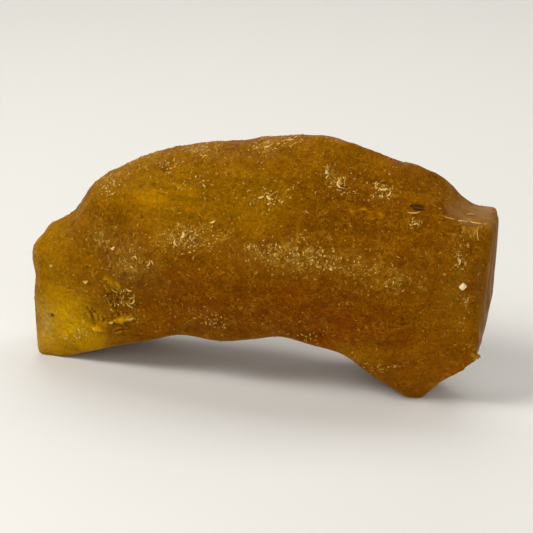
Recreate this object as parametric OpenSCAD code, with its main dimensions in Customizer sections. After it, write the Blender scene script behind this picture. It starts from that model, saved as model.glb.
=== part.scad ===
// A lump of natural amber: one piece of fossil resin, lying on a worn foot near each end.
// +X runs along the lump, -Y is its front, +Z is up, and the feet stand on the plane z = 0.

/* [Body] */
// Where the left end stands on the length axis
left_end = -41.5; // [-43:0.5:-40]
// Where the right end stands on the length axis
right_end = 38.5; // [37:0.5:40]
// How far the edges of the two ends are rounded
end_round = 1.8; // [1:0.1:3]
// How deep the shell-shaped scars are, as a share of their full depth
scar_depth = 1; // [0:0.1:1.2]
// How much of the feet is worn flat where the lump rests
foot_wear = 0.5; // [0.2:0.1:1]

/* [Surface pieces] */
// Size of the largest sand grains in the crust
grain_size = 1.1; // [0.6:0.1:1.4]
// How deep each grain is held in the crust, as a share of its size
grain_hold = 0.45; // [0.2:0.05:0.6]
// Length of the dark fleck of bark
fleck_length = 2.2; // [1.6:0.1:3.2]
// How far the loose flake stands out of the lower right edge
flake_reach = 1.3; // [0.8:0.1:1.6]

/* [Hidden] */

rings = 56;          // sections along the lump
steps = 8;           // points on each stretch between two rails
end_steps = 4;       // sections that round each end
end_dome = 0.8;      // how far the middle of an end face stands out

// Nine rails run along the lump, each a list of [x, y, z] that the surface passes through.
// They stand in the order that a section goes round: up the front, over the crest and down the back.
front_foot = [[-43, -3, 0], [-38, -3, 0.2], [-31, -4, 2.9], [-25, -5, 4.9], [-19, -5.5, 6.5],
    [-13.5, -6, 8.3], [-5, -6, 8.9], [1, -6, 10], [5, -6, 10.8], [11, -6, 9.5], [15.5, -5.5, 8.4],
    [19.5, -5, 6.2], [22.5, -3.6, 3.8], [25, -2.2, 1.7], [27.5, -0.6, 0], [30, -0.9, 2],
    [33, -2.4, 4.9], [38, -4, 9]];
belly = [[-43, -3.5, 9], [-31, -6, 10.5], [-19, -8.5, 14], [-5, -9.5, 17], [8, -10, 18],
    [18, -9, 16], [28, -7, 13], [38, -4.5, 17]];
shoulder = [[-43, -3.5, 17], [-35, -5.5, 21], [-25, -8.5, 22.5], [-11, -11, 25.5], [3, -11.5, 28],
    [17, -11, 27], [30, -8.5, 26], [38, -4.5, 26.5]];
brow = [[-43, -2.5, 21], [-35, -3, 25], [-31, -4, 29.5], [-24, -5, 32], [-12, -6, 35], [0, -5, 37.5],
    [9, -2, 40.2], [16, 0.5, 40.9], [22, -0.5, 39], [26, -2, 37.4], [30, -3.2, 34.6], [34, -3.5, 32.4],
    [38.5, -3, 32.9]];
crest = [[-43, 1.5, 21.5], [-40.5, 2, 23.7], [-38, 2, 25.2], [-34.8, 3, 28], [-33.5, 3, 30.3], [-31, 3, 33],
    [-26, 3, 35.8], [-20, 4, 38.5], [-13, 4, 40.4], [-5, 4, 41.6], [1, 4, 43], [9, 4, 43.7], [13.5, 4, 43.2],
    [18, 4, 42.1], [22, 4, 40.7], [25.5, 4, 40.1], [29.5, 4, 38.4], [34, 4, 34.1], [38.5, 4, 34]];
back_brow = [[-43, 8, 19], [-34, 9, 24], [-26, 10, 31], [-12, 11, 35], [4, 11, 38], [18, 11, 36],
    [29, 10, 32.5], [38, 8, 29]];
back_bulge = [[-43, 9, 12], [-32, 13, 15], [-20, 16, 19], [-4, 18, 21], [14, 17.5, 22],
    [28, 14, 20], [38, 9.5, 19]];
back_foot = [[-43, 7, 1.5], [-37, 9, 0], [-31, 11, 0], [-24, 13, 3.4], [-12, 14.5, 6.6], [2, 15, 7.2],
    [12, 14, 6.4], [19, 13, 2.4], [24, 11, 0], [28, 9, 0.6], [33, 7.5, 5], [38, 6, 9]];
keel = [[-43, 2.5, 0], [-36, 3, 0], [-28, 4, 3], [-14, 5, 7], [2, 5, 8.2], [12, 5, 8], [20, 5, 4],
    [25.5, 4.5, 0], [28.5, 3.5, 0.4], [32, 2, 4.5], [38, 1, 9]];
rails = [front_foot, belly, shoulder, brow, crest, back_brow, back_bulge, back_foot, keel];
// How softly a section turns at each rail, near the left end and near the right: 0.3 is crisp, 1 is round.
softness_left = [0.35, 0.9, 0.8, 0.9, 0.75, 0.9, 1, 0.5, 0.8];
softness_right = [0.35, 0.9, 0.8, 0.4, 0.6, 0.9, 1, 0.5, 0.8];

// The end faces lean: how far x moves for each mm of height and of depth, at the left and the right end.
left_lean = [-0.01, 0.12];
right_lean = [0.09, -0.1];
lean_reach = 12;     // length over which an end's lean fades out
lean_middle = [2, 20]; // the depth and height that don't move
left_hollow = [0.7, 16.5, 5]; // a hollow in the left end: how deep, its height and its reach up and down

// Shell-shaped scars, each [x, y, z, radius, depth].
scars = [[-33, -2, 29, 8, 1.2], [-8, -9, 32, 13, 1.3], [17, -8, 33, 11, 1], [-16, -9, 12, 12, 0.9],
    [14, -9, 15, 13, 1], [32, -6, 19, 9, 0.7], [-20, 15, 24, 13, 2], [10, 17, 16, 15, 2.2],
    [25, 12, 30, 10, 1.6], [-6, 12, 37, 9, 1.2]];

// Grains as [x, place round the section from 0 to 1, size as a share of grain_size].
crest_grains = [[-15, 0.42, 0.45], [-11.3, 0.42, 0.5], [-1, 0.43, 0.55], [0.5, 0.41, 0.7],
    [4, 0.42, 0.5], [5.4, 0.4, 0.45]];
brow_grains = [[3.5, 0.3, 0.5], [11.8, 0.32, 0.7], [14.3, 0.3, 0.75], [14.8, 0.29, 0.5],
    [19.4, 0.29, 0.45], [21.3, 0.31, 0.6]];
shoulder_grains = [[-12.2, 0.24, 0.45], [-11, 0.25, 0.6], [-10.4, 0.26, 0.5], [1, 0.2, 0.45],
    [8.2, 0.21, 0.6], [10.7, 0.21, 0.45], [13.5, 0.21, 0.5]];
right_grains = [[35, 0.19, 1], [35, 0.24, 0.55], [35.8, 0.16, 0.6], [35, 0.28, 0.5], [32.4, 0.22, 0.45]];

// Cubic interpolation of [x, ...] keys, whose slopes follow their neighbours.
function stretch_at(keys, x, i = 0) =
    i >= len(keys) - 2 || x < keys[i + 1][0] ? i : stretch_at(keys, x, i + 1);
function slope_at(keys, i) =
    let (a = keys[max(i - 1, 0)], b = keys[min(i + 1, len(keys) - 1)]) (b - a) / (b[0] - a[0]);
function hermite(a, b, slope_a, slope_b, t) =
    a * (2 * t ^ 3 - 3 * t ^ 2 + 1) + b * (3 * t ^ 2 - 2 * t ^ 3)
    + slope_a * (t ^ 3 - 2 * t ^ 2 + t) + slope_b * (t ^ 3 - t ^ 2);
function rail_at(keys, x) =
    let (i = stretch_at(keys, x), a = keys[i], b = keys[i + 1], h = b[0] - a[0],
        t = max(0, min(1, (x - a[0]) / h)))
    hermite(a, b, slope_at(keys, i) * h, slope_at(keys, i + 1) * h, t);
function smooth(t) = let (u = max(0, min(1, t))) u * u * (3 - 2 * u);

// One section is a closed curve through the nine rails, as [y, z] points.
function corners_at(x) = [for (rail = rails) let (p = rail_at(rail, x)) [p[1], p[2]]];
function turns_at(corners, x) =
    let (n = len(corners), share = smooth((x - 4) / 16),
        softness = softness_left * (1 - share) + softness_right * share)
    [for (i = [0 : n - 1]) (corners[(i + 1) % n] - corners[(i + n - 1) % n]) / 2 * softness[i]];
function section_point(corners, turns, u) =
    let (n = len(corners), i = floor(u) % n, j = (i + 1) % n)
    hermite(corners[i], corners[j], turns[i], turns[j], u - floor(u));
function section_at(x) =
    let (corners = corners_at(x), turns = turns_at(corners, x))
    [for (k = [0 : len(corners) * steps - 1]) section_point(corners, turns, k / steps)];
function middle(points) = [for (c = [0 : len(points[0]) - 1]) sum([for (p = points) p[c]]) / len(points)];
function sum(list, i = 0) = i < len(list) ? list[i] + sum(list, i + 1) : 0;

// Where a section's point [y, z] lies, once the section leans as the near end does.
function near_left(x) = 1 - smooth((x - left_end) / lean_reach);
function near_right(x) = 1 - smooth((right_end - x) / lean_reach);
function lean_at(x) = left_lean * near_left(x) + right_lean * near_right(x);
function hollow_at(x, z) =
    left_hollow[0] * smooth(1 - abs(z - left_hollow[1]) / left_hollow[2]) * near_left(x);
function placed(x, p) =
    let (lean = lean_at(x),
        out = (p[1] - lean_middle[1]) * lean[0] + (p[0] - lean_middle[0]) * lean[1])
    [x + out + hollow_at(x, p[1]), p[0], p[1]];
// Each scar pushes the surface towards the heart of the section.
function scarred(p, heart) =
    let (way = (heart - p) / norm(heart - p),
        push = sum([for (s = scars) s[4] * smooth(1 - norm(p - [s[0], s[1], s[2]]) / s[3])]))
    p + way * push * scar_depth;
function ring_at(x, inset = 0, size = 1, out = 0) =
    let (flat = section_at(x), c = placed(x, middle(flat)))
    [for (p = flat) let (q = scarred(placed(x, p), c), shrink = size * (1 - inset / norm(q - c)))
        c + (q - c) * shrink + [out, 0, 0]];
function heart_at(x) = placed(x, middle(section_at(x)));
function surface_at(x, place) =
    let (corners = corners_at(x), p = section_point(corners, turns_at(corners, x), place * len(corners)))
    scarred(placed(x, p), heart_at(x));

// The sections between the ends, then those that round each end and close it.
function end_rings(x, side) = concat(
    [for (k = [1 : end_steps]) let (a = 90 * k / end_steps)
        ring_at(x, end_round * (1 - cos(a)), 1, side * end_round * (sin(a) - 1))],
    [for (size = [0.7, 0.4, 0.15]) ring_at(x, end_round, size, side * end_dome * (1 - size))]);
function reversed(list) = [for (i = [len(list) - 1 : -1 : 0]) list[i]];
body_rings = concat(
    reversed(end_rings(left_end, -1)),
    [for (k = [0 : rings])
        ring_at(left_end + end_round + (right_end - left_end - 2 * end_round) * k / rings)],
    end_rings(right_end, 1));

// The origin is under the middle of the lump's outline, and the worn feet stand on z = 0.
function reach(c) =
    let (all = [for (ring = body_rings) each [for (p = ring) p[c]]]) (min(all) + max(all)) / 2;
lump_middle = [reach(0), reach(1), foot_wear];
module standing() {
    translate(-lump_middle) children();
}

module skin(ring_list) {
    n = len(ring_list[0]);
    m = len(ring_list);
    points = [for (ring = ring_list) each ring];
    tips = [middle(ring_list[0]), middle(ring_list[m - 1])];
    sides = [for (i = [0 : m - 2], k = [0 : n - 1]) let (l = (k + 1) % n) each [
        [i * n + k, i * n + l, (i + 1) * n + l],
        [i * n + k, (i + 1) * n + l, (i + 1) * n + k]]];
    first = [for (k = [0 : n - 1]) [m * n, (k + 1) % n, k]];
    last = [for (k = [0 : n - 1]) [m * n + 1, (m - 1) * n + k, (m - 1) * n + (k + 1) % n]];
    polyhedron(concat(points, tips), concat(sides, first, last));
}

module amber_body() {
    color("darkgoldenrod") intersection() {
        standing() skin(body_rings);
        translate([-60, -40, 0]) cube([120, 80, 60]);
    }
}

// A broken grain of sand with flat breaks and worn corners, turned by its own number.
module grain(size, number) {
    rotate([number * 67, number * 131, number * 29]) intersection() {
        cube([size, size * 0.8, size * 0.65], center = true);
        rotate([40, 30, 15]) cube([size * 0.95, size * 0.9, size * 0.8], center = true);
        sphere(d = size * 1.2, $fn = 9);
    }
}

module grains(list) {
    standing() for (i = [0 : len(list) - 1]) {
        g = list[i];
        size = g[2] * grain_size;
        at = surface_at(g[0], g[1]);
        way = (at - heart_at(g[0])) / norm(at - heart_at(g[0]));
        translate(at + way * size * (0.5 - grain_hold)) grain(size, i + 1);
    }
}

module grit_crest() {
    color("wheat") grains(crest_grains);
}

module grit_brow() {
    color("wheat") grains(brow_grains);
}

module grit_shoulder() {
    color("wheat") grains(shoulder_grains);
}

module grit_right() {
    color("wheat") grains(right_grains);
}

// A sliver of bark, lying in a slit of the surface.
module bark_fleck() {
    color("saddlebrown") standing() translate(surface_at(27.5, 0.31)) rotate([0, 8, 0]) hull() {
        for (side = [-1, 1]) translate([side * fleck_length / 2, 0, 0]) sphere(d = 0.35, $fn = 16);
        sphere(d = 0.7, $fn = 16);
    }
}

// A thin flake, still held along the lower right edge.
module edge_flake() {
    color("goldenrod") standing() translate(surface_at(right_end - 1.5, 0.05)) hull() {
        translate([-0.6, -0.2, 1]) sphere(d = 0.8, $fn = 16);
        translate([-0.2, 1.6, 0.2]) sphere(d = 0.7, $fn = 16);
        translate([flake_reach - 0.2, 0.5, 0]) sphere(d = 0.4, $fn = 16);
    }
}

amber_body();
bark_fleck();
edge_flake();
grit_crest();
grit_brow();
grit_shoulder();
grit_right();
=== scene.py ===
import math
import random
import bpy
import bmesh
import numpy as np
from mathutils import Matrix, Vector, noise


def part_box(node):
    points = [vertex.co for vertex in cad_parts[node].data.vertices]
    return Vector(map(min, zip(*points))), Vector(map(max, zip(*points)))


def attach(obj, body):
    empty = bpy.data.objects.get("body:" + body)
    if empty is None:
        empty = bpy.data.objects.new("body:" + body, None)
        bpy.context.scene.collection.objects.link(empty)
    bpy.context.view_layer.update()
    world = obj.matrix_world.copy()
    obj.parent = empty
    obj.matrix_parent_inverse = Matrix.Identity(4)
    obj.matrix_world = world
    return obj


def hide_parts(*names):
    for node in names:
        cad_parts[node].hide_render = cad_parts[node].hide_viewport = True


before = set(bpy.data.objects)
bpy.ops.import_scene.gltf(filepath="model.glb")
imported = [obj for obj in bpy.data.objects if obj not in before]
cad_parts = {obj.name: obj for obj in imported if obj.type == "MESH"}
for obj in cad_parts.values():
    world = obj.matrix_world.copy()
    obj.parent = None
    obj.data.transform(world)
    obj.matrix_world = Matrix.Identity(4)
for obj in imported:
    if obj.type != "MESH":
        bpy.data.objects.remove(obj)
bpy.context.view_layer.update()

mm = 0.001
body = "lump"
scene = bpy.context.scene
scene.view_settings.view_transform = "Standard"  # keeps the resin's deep golds as they are


def linear(hexColour):  # an sRGB hex colour as the shader wants it
    parts = [int(hexColour[i:i + 2], 16) / 255 for i in (1, 3, 5)]
    return tuple(c / 12.92 if c <= 0.04045 else ((c + 0.055) / 1.055) ** 2.4 for c in parts) + (1.0,)


def addNode(tree, kind, settings=None, links=None):  # inputs go by name or number, properties by name
    node = tree.nodes.new("ShaderNode" + kind)
    for name, value in (settings or {}).items():
        if isinstance(name, int) or name in node.inputs:
            node.inputs[name].default_value = value
        else:
            setattr(node, name, value)
    for socket, source in (links or {}).items():
        tree.links.new(source, node.inputs[socket])
    return node


def newMaterial(name):
    material = bpy.data.materials.new(name)
    material.use_nodes = True
    material.node_tree.nodes.clear()
    return material, material.node_tree


studio = {
    "floorColour": "#cfccc5", "floorSize": 3.0,
    "worldColour": "#d8d6d2", "worldStrength": 0.06,
    "aim": Vector((1.2, -1.2, 19.7)) * mm,
    "azimuth": 18, "elevation": 20, "distance": 0.30, "lens": 118,
    # name: place, size of the box and power in watts
    "softboxes": {
        "key_softbox": ((-0.34, -0.30, 0.50), (0.30, 0.30), 4.1),
        "fill_softbox": ((0.34, -0.96, 0.42), (1.20, 0.80), 7.2),
        "top_softbox": ((0.00, 0.22, 0.56), (0.60, 0.40), 1.9),
        "side_softbox": ((0.80, 0.50, 0.50), (0.60, 0.60), 2.6),
        "back_softbox": ((-0.40, 0.90, 0.50), (0.80, 0.60), 3.0),
    },
}


def direction(azimuth, elevation):  # 0 degrees is the front, -Y
    a, e = math.radians(azimuth), math.radians(elevation)
    return Vector((math.sin(a) * math.cos(e), -math.cos(a) * math.cos(e), math.sin(e)))


def pointAt(thing, place, target):
    thing.location = place
    thing.rotation_euler = (target - place).to_track_quat("-Z", "Y").to_euler()


def newPiece(name, bm):
    mesh = bpy.data.meshes.new(name)
    bm.to_mesh(mesh)
    bm.free()
    piece = bpy.data.objects.new(name, mesh)
    scene.collection.objects.link(piece)
    return piece


def makeFloor():
    bm = bmesh.new()
    bmesh.ops.create_grid(bm, x_segments=1, y_segments=1, size=studio["floorSize"] / 2)
    floor = newPiece("studio_floor", bm)
    material, tree = newMaterial("matt studio paper")
    shader = addNode(tree, "BsdfPrincipled", {"Base Color": linear(studio["floorColour"]),
                                              "Roughness": 0.9, "Specular IOR Level": 0.2})
    addNode(tree, "OutputMaterial", links={"Surface": shader.outputs[0]})
    floor.data.materials.append(material)


def makeStudio():
    makeFloor()
    world = bpy.data.worlds.new("pale room")
    world.use_nodes = True
    world.node_tree.nodes["Background"].inputs["Color"].default_value = linear(studio["worldColour"])
    world.node_tree.nodes["Background"].inputs["Strength"].default_value = studio["worldStrength"]
    scene.world = world
    for name, (place, size, power) in studio["softboxes"].items():
        light = bpy.data.lights.new(name, "AREA")
        light.shape = "RECTANGLE"
        light.size, light.size_y = size
        light.energy = power
        lamp = bpy.data.objects.new(name, light)
        scene.collection.objects.link(lamp)
        pointAt(lamp, Vector(place), studio["aim"])
    camera = bpy.data.objects.new("camera", bpy.data.cameras.new("camera"))
    camera.data.lens = studio["lens"]
    camera.data.sensor_width = 36
    camera.data.clip_start = 0.01
    scene.collection.objects.link(camera)
    towards = direction(studio["azimuth"], studio["elevation"])
    pointAt(camera, studio["aim"] + towards * studio["distance"], studio["aim"])
    scene.camera = camera


makeStudio()
print("studio ready")


lumpSkin = {  # in mm; a turn is how far the skin's normal points that way, from 0 to 1
    "voxel": 0.36, "relaxSteps": 3,
    "swell": (7.5, 0.26),                             # spacing and height of the broad swells
    "knob": (2.4, 0.18),                              # the knobbly relief under the crust
    "wrinkle": (1.1, 0.10),                           # the crust's own wrinkles
    "patch": 9, "wrinkleShare": (0.45, 0.55),         # they are deeper in patches
    "pit": (2.3, 0.22), "pitShade": 0.15,              # spacing, depth and painted shade of the small pits
    "rimTurn": (0.46, 0.80), "rimStray": (3, 0.08),   # the worn lower rim, and how its upper edge strays
    "endTurn": (0.50, 0.75), "endFrom": (36, 38),     # the broken face at the right end
    "endHeart": (14, 26), "endStray": (6, 1.2),       # its shell-like ripples run around a place (y, z)
    "endRipple": (2.6, 0.10), "endGrain": (1.0, 0.05),
    "facetTurn": (0.50, 0.75), "facetFrom": (30.5, 36.5), "facetUntil": (1.5, 8),  # from an X until a Y
    "facetBorder": -4.2, "facetSlant": (31, 34, 1.2), "facetStray": (2.6, 2.2), "facetRise": 0.35,
    "lipTurn": (0.3, 0.6), "lipFrom": (32, 34.5), "lipWidth": 0.35, "lipRise": 0.14,  # its front border
    "bareRim": 0.85, "bareEnd": 0.9,                  # share of the crust that has gone there
    "sideTurn": (0.1, 0.5),                           # a mark fades where the skin turns off its side
    "wander": (1.4, 0.55), "gaps": 1.6,               # cracks and ledges stray, and come and go
    "ledgeLumps": 0.7,                                # ledges are lumpy at this spacing
    "smoothEnd": (-41, -36, 0.25),                    # the left end is worn smooth
}
# Cracks: the side that they are in (-1 front, 1 back), half width and depth, then [x, z] points, in mm
cracks = [
    (-1, 0.34, 0.50, [(-24.6, 17.4), (-23.6, 15.8), (-24.0, 14.0), (-23.2, 12.2), (-22.0, 10.6)]),
    (-1, 0.30, 0.35, [(-30.0, 12.6), (-28.8, 11.2), (-28.2, 9.6), (-27.6, 8.0)]),
    (-1, 0.24, 0.30, [(-28.2, 11.8), (-27.2, 10.2), (-26.6, 8.8)]),
    (-1, 0.24, 0.30, [(-26.8, 11.4), (-26.0, 10.0), (-25.8, 9.0)]),
    (-1, 0.34, 0.40, [(-24.2, 7.4), (-22.8, 8.2), (-21.4, 8.6)]),
    (-1, 0.18, 0.16, [(-28.4, 19.6), (-25.0, 18.9), (-22.6, 17.6), (-19.8, 15.4)]),
    (-1, 0.18, 0.16, [(-23.8, 14.6), (-21.4, 14.2), (-19.6, 15.6)]),
    (-1, 0.16, 0.14, [(-22.8, 12.8), (-21.0, 13.4), (-19.8, 12.2)]),
    (1, 0.22, 0.22, [(6.0, 31.0), (10.0, 28.5), (12.0, 25.0), (16.5, 22.5), (18.0, 19.5)]),
    (1, 0.16, 0.16, [(10.6, 28.0), (14.5, 28.6), (17.0, 27.2)]),
    (1, 0.20, 0.20, [(-30.0, 22.0), (-26.0, 20.5), (-22.0, 21.5), (-18.5, 19.0)]),
    (1, 0.16, 0.16, [(-24.0, 21.0), (-22.5, 17.5), (-23.5, 14.5)]),
]
# Raised edges of broken crust: side, half width and rise, then [x, z] points, in mm
ledges = [
    (-1, 0.80, 0.35, [(-28.2, 7.2), (-26.4, 8.0), (-24.6, 9.4), (-22.0, 10.4), (-19.6, 11.4)]),
    (-1, 0.50, 0.25, [(-35.5, 5.2), (-33.2, 5.6), (-31.8, 6.6)]),
    (-1, 0.60, 0.25, [(-24.4, 18.6), (-22.6, 18.2), (-21.6, 17.0)]),
    (-1, 0.30, 0.16, [(16.0, 33.9), (17.1, 33.6), (20.3, 33.5), (23.5, 33.5)]),
    (1, 0.50, 0.12, [(-12.0, 12.5), (-7.0, 13.4), (-1.0, 12.2), (5.0, 13.0)]),
    (1, 0.40, 0.12, [(20.0, 31.0), (24.0, 29.6), (27.5, 29.8)]),
]
# Pockets broken out of the skin: centre, (half length, half width, depth) and tilt in degrees
pockets = [
    ((28.6, -6.9, 34.9), (1.4, 0.45, 0.6), -6),
    ((36.8, -9.3, 27.0), (0.45, 0.35, 0.3), 60),
    ((-36.4, -7.9, 8.6), (0.5, 0.4, 0.4), 0),
    ((-4.0, 15.0, 27.0), (1.5, 0.8, 0.45), 20),
    ((22.0, 13.0, 17.0), (1.0, 0.6, 0.4), -30),
    ((-31.0, 11.0, 9.0), (0.9, 0.7, 0.4), 0),
]

# Where flow lines show: centre, reach and strength
flows = [
    ((-14, -9, 32), (8, 5, 4.5), 1.0),
    ((-30, -8, 14), (8, 5, 6), 0.5),
    ((14, -7, 36), (10, 5, 3), 0.6),
    ((-10, 13, 28), (14, 6, 6), 0.7),
]


# The amber reads these from the mesh, each from 0 to 1
fieldNames = ("frostAndSheen", "crust", "hollow", "raisedHighlight", "rim", "flow", "face", "facet")


def ramp(low, high, values):  # eased from 0 to 1
    t = np.clip((values - low) / (high - low), 0, 1)
    return t * t * (3 - 2 * t)


def noiseField(points, size, shift, stretch=(1, 1, 1)):
    return np.array([noise.noise(p) for p in points / (size * np.array(stretch)) + shift])


def ridgeField(points, size, shift, stretch=(1, 1, 1)):  # sharp crests between soft hollows, from 0 to 1
    return 1 - np.minimum(1, np.abs(noiseField(points, size, shift, stretch)) * 2.4)


def pitField(points, size, shift):  # round pits in under half of the cells of a Voronoi pattern
    found = [noise.voronoi(p) for p in points / size + shift]
    distance = np.array([distances[0] for distances, cells in found])
    chosen = np.array([noise.cell(cells[0] * 7.3) > 0.1 for distances, cells in found])
    return (1 - ramp(0.08, 0.34, distance)) * chosen


def offLine(line, flat):  # distance of each [x, z] from a bent line
    nearest = np.full(len(flat), 1e9)
    for a, b in zip(np.array(line), np.array(line[1:])):
        along = np.clip(((flat - a) @ (b - a)) / ((b - a) @ (b - a)), 0, 1)
        nearest = np.minimum(nearest, np.linalg.norm(flat - (a + along[:, None] * (b - a)), axis=1))
    return nearest


def blobs(points, centre, reach):
    return np.exp(-(((points - np.array(centre)) / np.array(reach)) ** 2).sum(1))


def mergedCopy(nodeName, name):
    bm = bmesh.new()
    bm.from_mesh(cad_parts[nodeName].data)
    bmesh.ops.remove_doubles(bm, verts=bm.verts, dist=0.001 * mm)
    return newPiece(name, bm)


def applyModifiers(piece):
    bpy.context.view_layer.update()
    mesh = bpy.data.meshes.new_from_object(piece.evaluated_get(bpy.context.evaluated_depsgraph_get()))
    piece.modifiers.clear()
    piece.data = mesh


def readPoints(mesh):  # in mm
    values = np.zeros(len(mesh.vertices) * 3, np.float32)
    mesh.vertices.foreach_get("co", values)
    return values.reshape(-1, 3).astype(float) / mm


def readNormals(mesh):
    values = np.zeros(len(mesh.vertices) * 3, np.float32)
    mesh.vertex_normals.foreach_get("vector", values)
    return values.reshape(-1, 3).astype(float)


def storeField(mesh, name, values):
    mesh.attributes.new(name, "FLOAT", "POINT").data.foreach_set("value", values.astype(np.float32))


def wornParts(p, n):  # how far each point belongs to the lower rim, the broken end and the worn facet
    skin = lumpSkin
    spacing, stray = skin["rimStray"]
    rim = ramp(*skin["rimTurn"], -n[:, 2] + stray * noiseField(p, spacing, (9, 4, 2)))
    endFace = ramp(*skin["endTurn"], n[:, 0]) * ramp(*skin["endFrom"], p[:, 0])
    # the facet has a crisp border in front, and is ragged and faint where it meets the crest
    low, high, slant = skin["facetSlant"]
    border = skin["facetBorder"] - slant * ramp(low, high, p[:, 0])
    spacing, stray = skin["facetStray"]
    stray = stray * noiseField(p, spacing, (1, 6, 3))
    facet = ramp(0.0, 0.6, p[:, 1] - border + 0.2 * stray) * ramp(*skin["facetTurn"], n[:, 2])
    facet *= ramp(*skin["facetFrom"], p[:, 0] + stray) * (1 - ramp(*skin["facetUntil"], p[:, 1] + stray))
    lip = np.exp(-((p[:, 1] - border - 0.1) / skin["lipWidth"]) ** 2)
    lip = lip * ramp(*skin["lipTurn"], n[:, 2]) * ramp(*skin["lipFrom"], p[:, 0])
    return rim, endFace, facet, lip


def breakCrust(p, n, height, hollow, raisedHighlight):  # cuts cracks and pockets and lifts ledges, in place
    facing = {side: ramp(*lumpSkin["sideTurn"], side * n[:, 1]) for side in (-1, 1)}
    spacing, stray = lumpSkin["wander"]
    wander = np.stack([noiseField(p, spacing, shift) for shift in ((8, 1, 2), (2, 8, 1))], 1) * stray
    flat = p[:, [0, 2]] + wander
    broken = ramp(-0.3, 0.2, noiseField(p, lumpSkin["gaps"], (6, 6, 1)))
    for side, halfWidth, depth, line in cracks:
        off = offLine(line, flat)
        there = facing[side] * broken
        near = (1 - ramp(0.2 * halfWidth, halfWidth, off)) * there
        lip = ramp(0.8 * halfWidth, 1.3 * halfWidth, off)
        lip = lip * (1 - ramp(1.5 * halfWidth, 2.3 * halfWidth, off)) * there
        height += 0.4 * depth * lip - depth * near
        # the crack is marked for painted shade
        np.maximum(hollow, near, out=hollow)
        # its lips are marked for painted highlight
        np.maximum(raisedHighlight, min(0.45, depth) * lip, out=raisedHighlight)
    lumps = noiseField(p, lumpSkin["ledgeLumps"], (7, 3, 3))
    for side, halfWidth, rise, line in ledges:
        near = (1 - ramp(0.15 * halfWidth, halfWidth, offLine(line, flat))) * facing[side] * broken
        height += rise * near * (1 + 0.7 * lumps)
        # the ledge is marked for painted highlight
        np.maximum(raisedHighlight, near * min(1, rise / 0.25) * (0.8 + 0.6 * lumps), out=raisedHighlight)
    for centre, (halfLength, halfWidth, depth), tilt in pockets:
        a = math.radians(tilt)
        q = p - np.array(centre)
        u = (q[:, 0] * math.cos(a) + q[:, 2] * math.sin(a)) / halfLength
        v = (q[:, 2] * math.cos(a) - q[:, 0] * math.sin(a)) / halfWidth
        near = (1 - ramp(0.5, 1.0, np.hypot(u, v))) * (np.abs(q[:, 1]) < 3)   # not on the far side too
        near = near * ramp(0.2, 0.6, np.abs(n[:, 1]))
        height -= depth * near
        # the pocket is marked for painted shade
        np.maximum(hollow, near, out=hollow)


def sculptLump(mesh):
    p, n = readPoints(mesh), readNormals(mesh)
    skin = lumpSkin
    rim, endFace, facet, lip = wornParts(p, n)
    crust = (1 - skin["bareRim"] * rim) * (1 - skin["bareEnd"] * endFace) * (1 - skin["bareEnd"] * facet)
    height = skin["swell"][1] * noiseField(p, skin["swell"][0], (3.1, 0, 0))
    height += skin["knob"][1] * crust * noiseField(p, skin["knob"][0], (0, 7.7, 0))
    least, more = skin["wrinkleShare"]
    patch = least + more * ramp(-0.25, 0.35, noiseField(p, skin["patch"], (0, 0, 5.5)))
    wrinkle = ridgeField(p, skin["wrinkle"][0], (1.7, 2.3, 9.1), (1.5, 1.0, 0.8))
    height += skin["wrinkle"][1] * crust * patch * (wrinkle - 0.5)
    pits = pitField(p, skin["pit"][0], (4.4, 0.3, 1.9)) * crust
    height += skin["lipRise"] * lip + skin["facetRise"] * facet - skin["pit"][1] * pits
    # the pits are marked for painted shade
    hollow, raisedHighlight = skin["pitShade"] * pits, np.zeros(len(p))
    breakCrust(p, n, height, hollow, raisedHighlight)
    (y, z), (spacing, stray) = skin["endHeart"], skin["endStray"]
    ripple = np.hypot(p[:, 1] - y, p[:, 2] - z) + stray * noiseField(p, spacing, (5, 5, 5))
    spacing, rise = skin["endRipple"]
    height += rise * endFace * np.sin(ripple * math.tau / spacing)
    height += skin["endGrain"][1] * endFace * noiseField(p, skin["endGrain"][0], (5, 5, 5), (2, 1, 6))
    low, high, least = skin["smoothEnd"]
    height *= least + (1 - least) * ramp(low, high, p[:, 0])
    p += n * (height * ramp(0.0, 1.0, p[:, 2]))[:, None]          # the worn feet stay flat
    mesh.vertices.foreach_set("co", (p * mm).astype(np.float32).ravel())
    mesh.update()
    flow = np.zeros(len(p))
    for centre, reach, strength in flows:
        flow = np.maximum(flow, strength * blobs(p, centre, reach))
    facet = np.maximum(facet, 0.9 * lip)
    for name, values in zip(fieldNames[1:], (crust, hollow, raisedHighlight, rim, flow, endFace, facet)):
        storeField(mesh, name, values)
    return crust


restTone = "#683c01"
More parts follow.
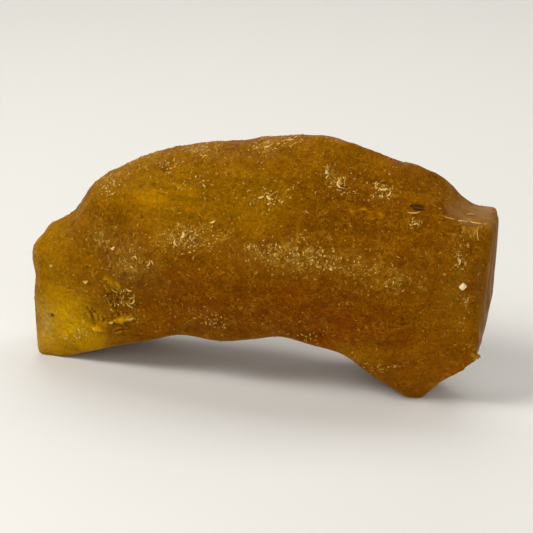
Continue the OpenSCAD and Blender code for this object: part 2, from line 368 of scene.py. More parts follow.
# Centre and reach in mm, colour, and how much of it. Partly the resin's own colour zones, partly painted
# light and shade: paler and yellower at the thin left end as painted glow, lighter on top and darker on
# the lower front and by the cracks
tonesAndPaintedLight = [
    ((-33.5, -7, 7), (6, 9, 6), "#b08600", 0.95),
    ((-32.5, -9, 12), (3.4, 5, 3.4), "#9c7000", 0.7),
    ((-38.8, -7, 5.5), (1.8, 4, 4.2), "#b09448", 0.85),
    ((-29, -9, 9), (4, 6, 3), "#a87a00", 0.4),
    ((-38, -7, 3), (4, 6, 2.6), "#ac8008", 0.8),
    ((-36, -5, 20), (8, 9, 7), "#845c00", 0.8),
    ((-24, 0, 34), (9, 9, 6), "#7a5200", 0.7),
    ((-15, -9, 33), (9, 7, 4), "#8c6200", 0.7),
    ((-8, -5, 37), (14, 8, 5), "#724a00", 0.6),
    ((2, -10, 34), (7, 6, 4), "#7c5400", 0.7),
    ((11, -8, 35), (4, 5, 3), "#603400", 0.5),
    ((12, -2, 41), (9, 6, 4), "#7a4e00", 0.6),
    ((-6, -11, 16), (16, 8, 7), "#683200", 0.8),
    ((17, -12, 15), (13, 8, 8), "#6e3200", 0.85),
    ((18, -7, 36), (6, 6, 4), "#643600", 0.7),
    ((22, -9, 30), (9, 6, 4), "#623400", 0.6),
    ((28, -11, 20), (9, 8, 6), "#6c3c00", 0.6),
    ((-22, -11, 14), (3, 5, 3.4), "#462400", 0.9),
    ((-22.4, -10, 8.6), (2.4, 4, 1.4), "#4c2c00", 0.5),
    ((-16, -11.5, 12), (4.5, 5, 4), "#764200", 0.6),
    ((-28.5, -9, 10.5), (1.8, 4, 2.2), "#583800", 0.6),
    ((-23, -12, 18), (1.8, 4, 1.2), "#a07400", 0.8),
    ((31, -6, 7), (7, 6, 6), "#844a00", 0.8),
    ((20, -7, 7.5), (4, 5, 2.5), "#885800", 0.7),
    ((35, -9, 19), (5, 6, 8), "#804e04", 0.8),
    ((-26.5, -10.3, 24.7), (4, 5, 3.5), "#5c3a08", 0.7),
    ((-19.3, -12.7, 22.2), (4.5, 5, 3.5), "#5c3a0c", 0.7),
    ((-34, 9, 10), (9, 8, 9), "#a07400", 0.9),
    ((-20, 14, 26), (11, 8, 8), "#8e6000", 0.8),
    ((6, 15, 29), (12, 8, 8), "#8a5600", 0.8),
    ((-4, 16, 14), (14, 8, 5), "#703a00", 0.8),
    ((24, 12, 20), (9, 8, 8), "#8a5000", 0.7),
    ((30, 8, 32), (7, 6, 6), "#946002", 0.7),
]
# Chalky, frosted places on the skin, whose pale colour is partly painted sheen where the ridges catch the
# light: centre, reach and strength
frostsAndSheen = [
    ((-26.3, -10.4, 24.8), (2.6, 4, 1.6), 0.9),
    ((-19.2, -12.7, 21.7), (2.8, 4, 1.8), 1.0),
    ((-21, -11, 14), (2.4, 4, 3), 0.35),
    ((11, -14.5, 26.8), (10, 4, 2.4), 1.0),
    ((24, -13, 25), (8, 4, 2.5), 0.6),
    ((-19, -12.5, 22.5), (5, 4, 4.5), 0.6),
    ((-10, -12.5, 27.5), (5, 4, 2.2), 0.8),
    ((-4, -12.5, 28.5), (4, 4, 2.0), 0.5),
    ((-25.5, -4, 33), (4, 3, 2.5), 0.8),
    ((-20, 0, 37), (3, 4, 1.5), 0.6),
    ((2, -1, 42), (3, 3, 1.5), 0.9),
    ((-10, -1, 40), (4, 3, 1.2), 0.8),
    ((38, -6, 31.5), (3, 2, 1.5), 0.8),
    ((-39.2, -6.5, 6), (2.2, 3, 4.5), 1.0),
    ((-40.4, -6, 15), (0.8, 4, 5), 0.7),
    ((15, -5.5, 37.5), (2.5, 3, 2.5), 0.4),
    ((22.5, -5.2, 36.5), (2.4, 3, 1.4), 0.5),
    ((-5, -11, 12.5), (4, 4, 2), 0.3),
    ((36, -9, 24), (2.4, 3, 6), 0.4),
    ((5, 12, 37), (14, 5, 3), 0.7),
    ((-12, 16, 21), (8, 5, 4), 0.9),
    ((20, 14, 25), (8, 5, 3.5), 0.9),
    ((4, 16, 22), (6, 5, 2.5), 0.6),
    ((-30, 10, 26), (4, 5, 4), 0.8),
]


def tintLump(mesh):
    p = readPoints(mesh)
    tone = np.tile(np.array(linear(restTone)[:3]), (len(p), 1))
    warp = np.stack([noiseField(p, 6, shift) for shift in ((1, 4, 2), (4, 2, 1), (2, 1, 4))], 1) * 3
    for centre, reach, colour, share in tonesAndPaintedLight:
        weight = (share * blobs(p + warp, centre, reach))[:, None]
        tone = tone * (1 - weight) + np.array(linear(colour)[:3]) * weight
    frostAndSheen = np.zeros(len(p))
    for centre, reach, strength in frostsAndSheen:
        frostAndSheen = np.maximum(frostAndSheen, strength * blobs(p + warp * 0.5, centre, reach))
    colours = np.concatenate([tone, np.ones((len(p), 1))], 1)
    toneField = mesh.attributes.new("tone", "FLOAT_COLOR", "POINT")
    toneField.data.foreach_set("color", colours.astype(np.float32).ravel())
    storeField(mesh, "frostAndSheen", frostAndSheen)
    return frostAndSheen


resin = {
    "ior": 1.54, "gloss": 0.016, "glossTint": "#f0a030", "roughness": (0.26, 0.42), "frostRoughness": 0.75,
    "glow": 0.5, "glowReach": 4 * mm, "glowColour": (1.0, 0.40, 0.06),
    "streak": (0.86, 1.18), "speckle": (0.85, 1.18), "flowShade": (0.68, 1.32),
    "wrinkleLightAndShade": (1.20, 0.86), "faceShade": (0.15, 0.62), "facetShade": (0.35, 0.95),
    "glintCut": 0.635, "glintFrost": 0.20,   # the higher the cut, the fewer painted glints; frost brings more
    # what is laid over the resin's colour, from the bottom up: colour and share. The rim's glow, the dark
    # pores and hollows, the golden veins, raised lips and flecks, and part of the frost are painted light
    # and shade
    "layers": {
        "rim": ("#9c6a00", 0.35),      # the worn lower rim is clear; its lighter colour is painted glow of light coming through
        "face": ("#7c5a22", 1.0), "facet": ("#7a5a30", 1.0),
        "vein": ("#b07e10", 0.36), "pore": ("#341800", 0.45), "frostAndSheen": ("#886420", 0.65),
        "hollow": ("#2c1400", 0.7), "raisedHighlight": ("#d49a00", 0.8), "fleck": ("#b48a2c", 0.6),
    },
}


def makeAmber():  # raw amber: translucent fossil resin under a thin, wrinkled weathering crust
    material, tree = newMaterial("weathered raw amber")
    place = addNode(tree, "TexCoord").outputs["Object"]
    tone = addNode(tree, "Attribute", {"attribute_name": "tone"}).outputs["Color"]
    field = {name: addNode(tree, "Attribute", {"attribute_name": name}).outputs["Fac"]
             for name in fieldNames}
    # cloudy streaks in the resin, about 8 mm long and 2.5 mm apart, which lean down to the right
    leaning = addNode(tree, "Mapping", {"Rotation": (0, math.radians(25), 0), "Scale": (120, 300, 400)},
                      {"Vector": place})
    streak = addNode(tree, "TexNoise", {"Scale": 1.0, "Detail": 3.0, "Distortion": 0.6},
                     {"Vector": leaning.outputs[0]})
    low, high = resin["streak"]
    streakShade = addNode(tree, "MapRange",
                          {"From Min": 0.3, "From Max": 0.7, "To Min": low, "To Max": high},
                          {"Value": streak.outputs[0]})
    # grains of the crust, about 0.5 mm
    speckle = addNode(tree, "TexNoise", {"Scale": 1900.0, "Detail": 3.0, "Distortion": 1.2},
                      {"Vector": place})
    low, high = resin["speckle"]
    speckleShade = addNode(tree, "MapRange",
                           {"From Min": 0.3, "From Max": 0.7, "To Min": low, "To Max": high},
                           {"Value": speckle.outputs[0]})
    shade = addNode(tree, "Math", {"operation": "MULTIPLY"},
                    {0: streakShade.outputs[0], 1: speckleShade.outputs[0]})
    # flow lines: the resin ran in thin layers, which show as fine lines about 0.8 mm apart
    layering = addNode(tree, "Mapping", {"Rotation": (0, math.radians(8), 0), "Scale": (170, 400, 1300)},
                       {"Vector": place})
    layer = addNode(tree, "TexNoise", {"Scale": 1.0, "Detail": 2.0, "Distortion": 0.4},
                    {"Vector": layering.outputs[0]})
    low, high = resin["flowShade"]
    layerShade = addNode(tree, "MapRange",
                         {"From Min": 0.35, "From Max": 0.65, "To Min": low, "To Max": high},
                         {"Value": layer.outputs[0]})
    flowing = addNode(tree, "Mix", {"data_type": "FLOAT", 2: 1.0},
                      {0: field["flow"], 3: layerShade.outputs[0]})
    # the crust's fine wrinkles, 0.6 mm apart, with painted highlight on their crests and painted shade in
    # their valleys
    wrinkle = addNode(tree, "TexNoise", {"Scale": 1600.0, "Detail": 3.0, "Distortion": 0.8},
                      {"Vector": place})
    wrinkleFold = addNode(tree, "Math", {"operation": "SUBTRACT", 1: 0.5}, {0: wrinkle.outputs[0]})
    wrinkleRidge = addNode(tree, "Math", {"operation": "ABSOLUTE"}, {0: wrinkleFold.outputs[0]})
    low, high = resin["wrinkleLightAndShade"]
    wrinklePaintedLight = addNode(tree, "MapRange",
                          {"From Min": 0.01, "From Max": 0.12, "To Min": low, "To Max": high},
                          {"Value": wrinkleRidge.outputs[0]})
    crustPaintedLight = addNode(tree, "Mix", {"data_type": "FLOAT", 2: 1.0},
                      {0: field["crust"], 3: wrinklePaintedLight.outputs[0]})
    folded = addNode(tree, "Math", {"operation": "MULTIPLY"},
                     {0: flowing.outputs[0], 1: crustPaintedLight.outputs[0]})
    shaded = addNode(tree, "Math", {"operation": "MULTIPLY"}, {0: shade.outputs[0], 1: folded.outputs[0]})
    depth = addNode(tree, "VectorMath", {"operation": "SCALE"}, {0: tone, "Scale": shaded.outputs[0]})
    # the broken end is bruised pale in soft, uneven bands that run up it, about 3 mm apart
    ribs = addNode(tree, "Mapping", {"Scale": (400, 330, 130)}, {"Vector": place})
    rib = addNode(tree, "TexNoise", {"Scale": 1.0, "Detail": 5.0, "Distortion": 2.2},
                  {"Vector": ribs.outputs[0]})
    low, high = resin["faceShade"]
    ribMask = addNode(tree, "MapRange",
                      {"From Min": 0.36, "From Max": 0.64, "To Min": low, "To Max": high},
                      {"Value": rib.outputs[0]})
    face = addNode(tree, "Math", {"operation": "MULTIPLY"}, {0: ribMask.outputs[0], 1: field["face"]})
    # the facet above it wears a thin frosted film with wisps 2 mm long
    wisps = addNode(tree, "Mapping", {"Scale": (250, 700, 700)}, {"Vector": place})
    wisp = addNode(tree, "TexNoise", {"Scale": 1.0, "Detail": 3.0, "Distortion": 0.8},
                   {"Vector": wisps.outputs[0]})
    low, high = resin["facetShade"]
    wispMask = addNode(tree, "MapRange",
                       {"From Min": 0.35, "From Max": 0.60, "To Min": low, "To Max": high},
                       {"Value": wisp.outputs[0]})
    facet = addNode(tree, "Math", {"operation": "MULTIPLY"}, {0: wispMask.outputs[0], 1: field["facet"]})
    # veins: painted highlights on the golden lips of the crust's wrinkles, about 0.9 mm apart and a tenth
    # as wide
    veins = addNode(tree, "TexNoise", {"Scale": 1100.0, "Detail": 2.0, "Distortion": 1.0},
                    {"Vector": place})
    veinFold = addNode(tree, "Math", {"operation": "SUBTRACT", 1: 0.5}, {0: veins.outputs[0]})
    veinLine = addNode(tree, "Math", {"operation": "ABSOLUTE"}, {0: veinFold.outputs[0]})
    veinMask = addNode(tree, "MapRange", {"From Min": 0.085, "From Max": 0.025},
                       {"Value": veinLine.outputs[0]})
    veinCut = addNode(tree, "TexNoise", {"Scale": 420.0, "Detail": 4.0, "Roughness": 0.7},
                      {"Vector": place})
    veinBreak = addNode(tree, "MapRange", {"From Min": 0.40, "From Max": 0.66},
                        {"Value": veinCut.outputs[0]})
    veinParts = addNode(tree, "Math", {"operation": "MULTIPLY"},
                        {0: veinMask.outputs[0], 1: veinBreak.outputs[0]})
    vein = addNode(tree, "Math", {"operation": "MULTIPLY"}, {0: veinParts.outputs[0], 1: field["crust"]})
    # pores: dark dots of painted shade for pinholes of 0.2 mm, about 1 mm apart
    pores = addNode(tree, "TexVoronoi", {"Scale": 1000.0, "Randomness": 1.0}, {"Vector": place})
    poreMask = addNode(tree, "MapRange", {"From Min": 0.20, "From Max": 0.10},
                       {"Value": pores.outputs["Distance"]})
    poreCut = addNode(tree, "MapRange", {"From Min": 0.50, "From Max": 0.42},
                      {"Value": veinCut.outputs[0]})
    pore = addNode(tree, "Math", {"operation": "MULTIPLY"},
                   {0: poreMask.outputs[0], 1: poreCut.outputs[0]})
    # frost: chalky bruises, broken up by scratches of about 0.8 mm; their pale colour is partly painted
    # sheen
    scratch = addNode(tree, "TexNoise", {"Scale": 1300.0, "Detail": 4.0, "Roughness": 0.7},
                      {"Vector": place})
    scratchEdge = addNode(tree, "MapRange", {"From Min": 0.40, "From Max": 0.62},
                          {"Value": scratch.outputs[0]})
    frostAndSheen = addNode(tree, "Math", {"operation": "MULTIPLY"},
                    {0: field["frostAndSheen"], 1: scratchEdge.outputs[0]})
    # flecks: painted glints, short and curved like slivers of split crust, 0.6 mm apart and a sixth as
    # wide, in clusters
    curl = addNode(tree, "TexNoise", {"Scale": 1500.0, "Detail": 1.0, "Distortion": 1.6},
                   {"Vector": place})
    curlFold = addNode(tree, "Math", {"operation": "SUBTRACT", 1: 0.5}, {0: curl.outputs[0]})
    curlLine = addNode(tree, "Math", {"operation": "ABSOLUTE"}, {0: curlFold.outputs[0]})
    curlMask = addNode(tree, "MapRange", {"From Min": 0.080, "From Max": 0.030},
                       {"Value": curlLine.outputs[0]})
    cut = addNode(tree, "TexNoise", {"Scale": 900.0, "Detail": 3.0, "Roughness": 0.6}, {"Vector": place})
    cutLevel = addNode(tree, "Math",
                       {"operation": "MULTIPLY_ADD", 1: resin["glintFrost"], 2: -resin["glintCut"]},
                       {0: field["frostAndSheen"]})
    cutSum = addNode(tree, "Math", {"operation": "ADD"}, {0: cut.outputs[0], 1: cutLevel.outputs[0]})
    cutMask = addNode(tree, "MapRange", {"From Min": 0.0, "From Max": 0.06}, {"Value": cutSum.outputs[0]})
    fleck = addNode(tree, "Math", {"operation": "MULTIPLY"},
                    {0: curlMask.outputs[0], 1: cutMask.outputs[0]})
    masks = {name: node.outputs[0] for name, node in (("face", face), ("facet", facet), ("vein", vein),
                                                      ("pore", pore), ("frostAndSheen", frostAndSheen), ("fleck", fleck))}
    colour = depth.outputs[0]
    for name, (hexColour, amount) in resin["layers"].items():
        mask = masks[name] if name in masks else field[name]
        share = addNode(tree, "Math", {"operation": "MULTIPLY", 1: amount}, {0: mask})
        layered = addNode(tree, "Mix", {"data_type": "RGBA", 7: linear(hexColour)},
                          {0: share.outputs[0], 6: colour})
        colour = layered.outputs[2]
    low, high = resin["roughness"]
    roughness = addNode(tree, "MapRange",
                        {"From Min": 0.3, "From Max": 0.7, "To Min": low, "To Max": high},
                        {"Value": speckle.outputs[0]})
    dulled = addNode(tree, "Mix", {"data_type": "FLOAT", 3: resin["frostRoughness"]},
                     {0: frostAndSheen.outputs[0], 2: roughness.outputs[0]})
    # the fine wrinkles stand in relief too
    wrinkleHeight = addNode(tree, "Math", {"operation": "MULTIPLY"},
                            {0: wrinkleRidge.outputs[0], 1: field["crust"]})
    relief = addNode(tree, "Bump", {"Strength": 1.0, "Distance": 0.5 * mm, "invert": True},
                     {"Height": wrinkleHeight.outputs[0]})
    shader = addNode(tree, "BsdfPrincipled",
                     {"IOR": resin["ior"], "Specular IOR Level": resin["gloss"],
                      "Specular Tint": linear(resin["glossTint"]), "Subsurface Weight": resin["glow"],
                      "Subsurface Radius": resin["glowColour"], "Subsurface Scale": resin["glowReach"]},
                     {"Base Color": colour, "Roughness": dulled.outputs[0], "Normal": relief.outputs[0]})
    addNode(tree, "OutputMaterial", links={"Surface": shader.outputs[0]})
    return material


def makeLump():
    lump = mergedCopy("amber_body", "resin_lump")
    remesh = lump.modifiers.new("even skin", "REMESH")
    remesh.mode = "VOXEL"
    remesh.voxel_size = lumpSkin["voxel"] * mm
    relax = lump.modifiers.new("relax", "SMOOTH")
    relax.iterations = lumpSkin["relaxSteps"]
    applyModifiers(lump)
    crust = sculptLump(lump.data)
    frostAndSheen = tintLump(lump.data)
    lump.data.polygons.foreach_set("use_smooth", [True] * len(lump.data.polygons))
    lump.data.materials.clear()
    lump.data.materials.append(amber)
    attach(lump, body)
    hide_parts("amber_body")
    print("lump has", len(lump.data.vertices), "points")
    return lump, frostAndSheen, crust


amber = makeAmber()
lump, frostAndSheen, crust = makeLump()


sliverSet = {
    "count": 3200, "seed": 11,
    "length": (0.22, 1.00), "width": (0.12, 0.26), "thick": (0.10, 0.16), "splinterThick": 0.2,  # in mm
    "bend": 0.5, "nick": 0.25, "lift": 0.02, "tuck": 0.05,     # the tips are tucked into the skin
    "evenShare": 0.07, "frostShare": 0.10, "footClear": (0.6, 1.5),
    "palest": (0.35, 0.65), "deep": "#8e6004", "pale": "#d2aa5c",
}
# Large splinters: place, length, width, turn in degrees, bend as a share of the length, and dryness, whose
# paleness is partly a painted glint
splinters = [
    ((28.3, -7.3, 34.1), 2.0, 0.22, 14, 0.10, 0.6), ((36.3, -9.4, 27.2), 1.2, 0.32, 110, 0.25, 0.9),
    ((37.6, -8.5, 20.3), 1.4, 0.30, 60, 0.22, 0.7), ((-28.5, -10.2, 16.6), 1.2, 0.50, 20, 0.2, 0.7),
    ((-22.8, -11.5, 23.7), 1.0, 0.50, 25, 0.2, 0.8), ((-15.6, -13.4, 22.6), 1.5, 0.30, 55, 0.22, 0.7),
    ((-15.1, -13.4, 22.8), 1.1, 0.26, 125, 0.2, 0.6), ((-19.9, -11.8, 16.7), 1.1, 0.34, -15, 0.2, 0.8),
    ((-19.6, -11.2, 14.3), 1.5, 0.32, 50, 0.2, 0.8), ((15.5, -5.9, 37.3), 2.0, 0.38, -60, 0.45, 1.0),
    ((12.9, -5.2, 38.9), 1.1, 0.45, 80, 0.2, 1.0), ((22.4, -5.2, 36.7), 1.5, 0.34, 10, 0.22, 0.95),
    ((23.4, -5.5, 36.2), 1.2, 0.28, 65, 0.22, 0.8), ((-4.8, -11.4, 30.4), 1.1, 0.30, 25, 0.2, 0.8),
    ((4.6, -9.8, 35.0), 1.7, 0.45, -25, 0.2, 0.7), ((3.1, -10.0, 35.1), 1.2, 0.36, 20, 0.2, 0.6),
    ((1.6, -1.8, 41.5), 1.4, 0.40, 20, 0.2, 0.9), ((5.2, -0.9, 42.5), 1.2, 0.34, -10, 0.2, 0.8),
    ((-9.9, -12.5, 27.8), 1.3, 0.50, 80, 0.2, 0.9), ((-10.8, -12.8, 26.4), 1.4, 0.36, -60, 0.22, 0.7),
    ((-24.2, -9.8, 9.6), 1.2, 0.50, 25, 0.2, 0.7), ((-20.6, -10.2, 11.0), 1.3, 0.40, 20, 0.2, 0.6),
    ((-34.0, -8.0, 4.6), 1.1, 0.34, 10, 0.2, 0.6), ((-36.0, -8.4, 18.2), 0.9, 0.40, 10, 0.2, 0.6),
    ((-21.6, -11.3, 14.8), 1.6, 0.16, 58, 0.1, 0.5), ((-20.4, -11.4, 13.4), 1.4, 0.16, -38, 0.1, 0.7),
    ((-22.8, -11.0, 15.9), 1.3, 0.15, -25, 0.1, 0.5), ((-20.9, -11.5, 16.4), 1.1, 0.15, 70, 0.1, 0.6),
    ((-19.7, -11.7, 15.0), 1.3, 0.15, 15, 0.1, 0.5), ((-23.4, -10.8, 13.0), 1.1, 0.15, 80, 0.1, 0.4),
    ((33.9, -5.7, 33.3), 2.2, 0.15, 12, 0.05, 0.6), ((35.6, -5.3, 32.8), 2.4, 0.14, 5, -0.05, 0.8),
    ((37.6, -4.8, 32.5), 2.6, 0.15, -6, 0.04, 0.8), ((36.4, -3.0, 33.1), 1.8, 0.12, 25, 0.05, 0.6),
    ((38.6, -6.4, 31.0), 2.0, 0.14, -75, 0.04, 0.8),
]
# Where split crust gathers: centre, reach in mm and how thickly
clusters = [
    ((-9.9, -12.5, 27.4), (2.2, 4, 1.6), 1.0), ((-13.1, -12.3, 27.5), (1.6, 4, 1.2), 0.6),
    ((-4.2, -12.4, 29), (2.4, 4, 1.2), 0.5), ((-6.4, -13.6, 26), (2.5, 4, 1.2), 0.5),
    ((5, -14.6, 27.6), (3, 4, 1.3), 0.8), ((11, -14.5, 27.2), (4, 4, 1.6), 1.0),
    ((18, -13.9, 26.2), (4, 4, 1.6), 0.7), ((26, -12.7, 23.5), (4, 4, 1.6), 0.4),
    ((1.6, -1.8, 41.5), (2, 3, 1), 1.2), ((5.2, -0.9, 42.5), (2, 3, 1), 0.8),
    ((-9.9, -1, 39.8), (3, 3, 1), 1.0), ((4.2, -9.8, 35.1), (2.5, 4, 1.6), 0.7),
    ((12.9, -5.2, 38.9), (1, 3, 0.9), 1.5), ((15.5, -5.9, 37.1), (1.2, 3, 1.2), 1.6),
    ((22.4, -5.2, 36.7), (1.8, 3, 0.9), 1.6), ((36.1, -9.5, 27.2), (1, 3, 1.2), 1.2),
    ((36.4, -8.3, 29.6), (0.8, 3, 0.8), 0.8), ((37.4, -8.5, 20), (0.8, 3, 1.4), 0.9),
    ((36.8, -8, 15.4), (0.9, 3, 1.6), 0.6), ((23.8, -8.7, 6.8), (1.6, 3, 1), 0.9),
    ((11.5, -9.6, 11), (2, 3, 1.1), 0.9), ((-4.8, -11.1, 12.5), (2.4, 4, 1.4), 0.8),
    ((-31, -8.5, 7.5), (3.5, 4, 2.6), 0.7), ((-22.5, -11, 13.5), (3, 4, 3.2), 0.7),
    ((-25.8, -5.1, 32.9), (2.4, 3, 1.4), 0.9), ((-22.3, 0.2, 36.5), (2.4, 3, 1.2), 0.7),
    ((-15, -4, 37), (3, 3, 1.4), 0.4), ((-8.6, -7.1, 36), (3, 3, 1.4), 0.4),
    ((-19, -12.5, 22), (3, 4, 2.6), 0.4), ((28.5, -8.3, 32.8), (1, 2, 0.5), 1.2),
    ((4, 10, 39), (8, 4, 3), 0.3), ((-8, 15, 22), (6, 4, 3), 0.3),
    ((20, 13, 24), (6, 4, 3), 0.3), ((-28, 8, 28), (5, 4, 3), 0.3),
]


def makeSplitCrust():  # slivers of crust that have split and lifted: dry, cloudy and pale where thin, their paleness partly a painted glint
    material, tree = newMaterial("split weathering crust")
    shade = addNode(tree, "Attribute", {"attribute_name": "drynessAndGlint"})
    colour = addNode(tree, "Mix", {"data_type": "RGBA", 6: linear(sliverSet["deep"]),
                                   7: linear(sliverSet["pale"])}, {0: shade.outputs["Fac"]})
    shader = addNode(tree, "BsdfPrincipled",
                     {"Roughness": 0.42, "IOR": 1.54, "Specular IOR Level": 0.12, "Subsurface Weight": 0.5,
                      "Subsurface Scale": 0.4 * mm, "Subsurface Radius": (1.0, 0.6, 0.2)},
                     {"Base Color": colour.outputs[2]})
    addNode(tree, "OutputMaterial", links={"Surface": shader.outputs[0]})
    return material


def sliverShape():  # a curved splinter along X, one long, one wide and one thick, pointed at both ends
    bm = bmesh.new()
    bmesh.ops.create_cube(bm, size=1)
    lengthwise = [edge for edge in bm.edges if abs((edge.verts[0].co - edge.verts[1].co).x) > 0.5]
    bmesh.ops.subdivide_edges(bm, edges=lengthwise, cuts=3)
    for vert in bm.verts:
        t = (2 * vert.co.x) ** 2
        vert.co.y *= 1 - 0.75 * t
        vert.co.z *= 1 - 0.65 * t
    mesh = bpy.data.meshes.new("sliver shape")
    bm.to_mesh(mesh)
    bm.free()
    return mesh


def makeSlivers(lump, frostAndSheen, crust):
    points, normals = readPoints(lump.data), readNormals(lump.data)
    weights = sliverSet["evenShare"] + sliverSet["frostShare"] * frostAndSheen
    for centre, reach, strength in clusters:
        weights += strength * blobs(points, centre, reach)
    least, more = sliverSet["palest"]
    palest = least + more * ramp(0.0, 0.5, weights)   # the palest slivers, partly painted glints, are where many gather
    weights *= ramp(*sliverSet["footClear"], points[:, 2]) * crust
    draw = random.Random(sliverSet["seed"])
    shape = sliverShape()
    bm = bmesh.new()
    drynessAndGlint = []
    wanted = []   # vertex, length, width, thickness, turn, bend and dryness with its painted glint
    for place, length, width, turn, bend, dryAndGlint in splinters:
        nearest = int(np.argmin(np.linalg.norm(points - np.array(place), axis=1)))
        wanted.append((nearest, length, width, sliverSet["splinterThick"], math.radians(turn), bend, dryAndGlint))
    shortest = sliverSet["length"][0]
    for i in draw.choices(range(len(points)), weights=weights.tolist(), k=sliverSet["count"]):
        length, width, thick = (draw.uniform(*sliverSet[name]) for name in ("length", "width", "thick"))
        length = shortest * (length / shortest) ** draw.uniform(0.3, 1)
        wanted.append((i, length, width, thick, draw.uniform(0, math.tau),
                       draw.uniform(-1, 1) * sliverSet["bend"], draw.random() ** 2.2 * palest[i]))
    for i, length, width, thick, turn, bend, dryAndGlint in wanted:
        before = len(bm.verts)
        bm.from_mesh(shape)
        bm.verts.ensure_lookup_table()
        normal = Vector(normals[i])
        along = Vector((1, 0, 0)) - normal * normal.x
        along = along.normalized() if along.length > 0.2 else normal.orthogonal().normalized()
        across = normal.cross(along)
        cos, sin = math.cos(turn), math.sin(turn)
        along, across = along * cos + across * sin, across * cos - along * sin
        for k in range(before, len(bm.verts)):
            x, y, z = bm.verts[k].co
            t = 4 * x * x
            nick = sliverSet["nick"] * width * noise.noise((x * length * 4, y * 3, i * 0.37))
            bm.verts[k].co = (Vector(points[i]) + along * x * length
                              + across * (y * width + nick + bend * length * (t - 0.4))
                              + normal * (z * thick + sliverSet["lift"] - sliverSet["tuck"] * t)) * mm
        drynessAndGlint += [dryAndGlint] * (len(bm.verts) - before)
    slivers = newPiece("crust_slivers", bm)
    storeField(slivers.data, "drynessAndGlint", np.array(drynessAndGlint))
    slivers.data.materials.append(makeSplitCrust())
    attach(slivers, body)
    print(len(wanted), "slivers on the crust")


makeSlivers(lump, frostAndSheen, crust)


def middleOf(nodeName):
    low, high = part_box(nodeName)
    return (Vector(low) + Vector(high)) / 2


edgeShard = {
    "size": (2.0, 2.2, 0.50),     # in mm
    "tilt": 38, "chip": 0.16, "cup": 0.50, "colour": "#7c5204",
    "offset": Vector((0.9, 0.1, -0.7)) * mm,  # its thin edge hangs below the corner
    # the shard takes a share of the rim's painted glow and of the frost's painted sheen
    "fields": {"frostAndSheen": 0.4, "crust": 0.6, "rim": 0.3},
}


def makeShard():  # a thin shell of resin that has sprung from the lower right edge
    bm = bmesh.new()
    bmesh.ops.create_icosphere(bm, subdivisions=4, radius=0.5)
    for vert in bm.verts:
        p = vert.co.copy()
        broken = noise.noise(p * 4 + Vector((3, 1, 7))) + 0.5 * noise.noise(p * 9)
        vert.co += p.normalized() * edgeShard["chip"] * broken
        vert.co.z -= edgeShard["cup"] * (4 * p.y * p.y - 0.5)
        vert.co = Vector(a * b for a, b in zip(vert.co, edgeShard["size"])) * mm
    bmesh.ops.rotate(bm, verts=bm.verts, matrix=Matrix.Rotation(math.radians(edgeShard["tilt"]), 3, "Y"))
    bmesh.ops.translate(bm, verts=bm.verts, vec=middleOf("edge_flake") + edgeShard["offset"])
    shard = newPiece("edge_shard", bm)
    mesh = shard.data
    mesh.polygons.foreach_set("use_smooth", [True] * len(mesh.polygons))
    mesh.attributes.new("tone", "FLOAT_COLOR", "POINT").data.foreach_set(
        "color", linear(edgeShard["colour"]) * len(mesh.vertices))
    for name in fieldNames:
        storeField(mesh, name, np.full(len(mesh.vertices), edgeShard["fields"].get(name, 0)))
    mesh.materials.append(amber)
    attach(shard, body)
    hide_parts("edge_flake")


makeShard()
print("edge shard ready")

barkFleck = {
    "size": (2.2, 0.60, 0.42),    # in mm
    "sides": 18, "cuts": 16, "taper": (0.85, 1.8), "tilt": 4, "fibres": 0.35,
    "dark": "#1a0e05", "light": "#5c3c18",
}


def makeBarkFibre():  # dry inner bark: dull, dark and split into fibres
    material, tree = newMaterial("dry bark fibre")
    place = addNode(tree, "TexCoord").outputs["Object"]
    # fibres 0.15 mm thick and 2 mm long
    along = addNode(tree, "Mapping", {"Scale": (500, 6500, 6500)}, {"Vector": place})
    fibre = addNode(tree, "TexNoise", {"Scale": 1.0, "Detail": 3.0}, {"Vector": along.outputs[0]})
    colour = addNode(tree, "Mix", {"data_type": "RGBA", 6: linear(barkFleck["dark"]),
                                   7: linear(barkFleck["light"])}, {0: fibre.outputs[0]})
    relief = addNode(tree, "Bump", {"Strength": 0.6, "Distance": 0.1 * mm}, {"Height": fibre.outputs[0]})
    shader = addNode(tree, "BsdfPrincipled", {"Roughness": 0.8, "Specular IOR Level": 0.1},
                     {"Base Color": colour.outputs[2], "Normal": relief.outputs[0]})
    addNode(tree, "OutputMaterial", links={"Surface": shader.outputs[0]})
    return material


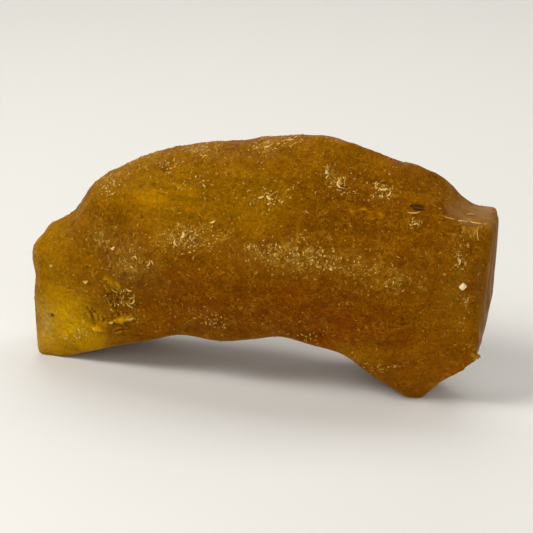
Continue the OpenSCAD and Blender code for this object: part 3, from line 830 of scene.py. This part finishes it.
def makeBark():
    bm = bmesh.new()
    bmesh.ops.create_cone(bm, cap_ends=True, segments=barkFleck["sides"],
                          radius1=0.5, radius2=0.5, depth=1)
    lengthwise = [edge for edge in bm.edges if abs((edge.verts[0].co - edge.verts[1].co).z) > 0.5]
    bmesh.ops.subdivide_edges(bm, edges=lengthwise, cuts=barkFleck["cuts"])
    bmesh.ops.rotate(bm, verts=bm.verts, matrix=Matrix.Rotation(math.radians(90), 3, "Y"))
    share, power = barkFleck["taper"]
    for vert in bm.verts:
        p = vert.co.copy()
        taper = 1 - share * abs(2 * p.x) ** power
        split = 1 + barkFleck["fibres"] * noise.noise(Vector((p.x * 3, p.y * 9, p.z * 9)))
        vert.co = Vector((p.x, p.y * taper * split, p.z * taper * split))
        vert.co = Vector(a * b for a, b in zip(vert.co, barkFleck["size"])) * mm
    bmesh.ops.rotate(bm, verts=bm.verts, matrix=Matrix.Rotation(math.radians(barkFleck["tilt"]), 3, "Y"))
    bmesh.ops.translate(bm, verts=bm.verts, vec=middleOf("bark_fleck"))
    bark = newPiece("bark_sliver", bm)
    bark.data.materials.append(makeBarkFibre())
    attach(bark, body)
    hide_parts("bark_fleck")


makeBark()
print("bark sliver ready")


sand = {
    "deep": "#80580c", "honey": "#b88c38", "milky": "#dccb98",
    "milkyGrain": (36.9 * mm, -9.2 * mm, 22.9 * mm), "milkyReach": (0.9 * mm, 1.5 * mm),
}


def makeSand():  # worn quartz sand: cloudy honey grains stained by the resin, and one clean milky grain
    material, tree = newMaterial("resin-stained quartz sand")
    place = addNode(tree, "TexCoord").outputs["Object"]
    cloud = addNode(tree, "TexNoise", {"Scale": 1400.0, "Detail": 2.0}, {"Vector": place})
    stain = addNode(tree, "Mix", {"data_type": "RGBA", 6: linear(sand["deep"]), 7: linear(sand["honey"])},
                    {0: cloud.outputs[0]})
    off = addNode(tree, "VectorMath", {"operation": "DISTANCE", 1: sand["milkyGrain"]}, {0: place})
    near, far = sand["milkyReach"]
    clean = addNode(tree, "MapRange", {"From Min": far, "From Max": near}, {"Value": off.outputs["Value"]})
    colour = addNode(tree, "Mix", {"data_type": "RGBA", 7: linear(sand["milky"])},
                     {0: clean.outputs[0], 6: stain.outputs[2]})
    shader = addNode(tree, "BsdfPrincipled",
                     {"Roughness": 0.35, "IOR": 1.55, "Specular IOR Level": 0.12,
                      "Subsurface Weight": 0.6, "Subsurface Scale": 0.4 * mm,
                      "Subsurface Radius": (1.0, 0.7, 0.4)}, {"Base Color": colour.outputs[2]})
    addNode(tree, "OutputMaterial", links={"Surface": shader.outputs[0]})
    return material


stainedSand = makeSand()
for name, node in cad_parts.items():
    if name.startswith("grit"):
        node.data.materials.clear()
        node.data.materials.append(stainedSand)
print("sand grains ready")
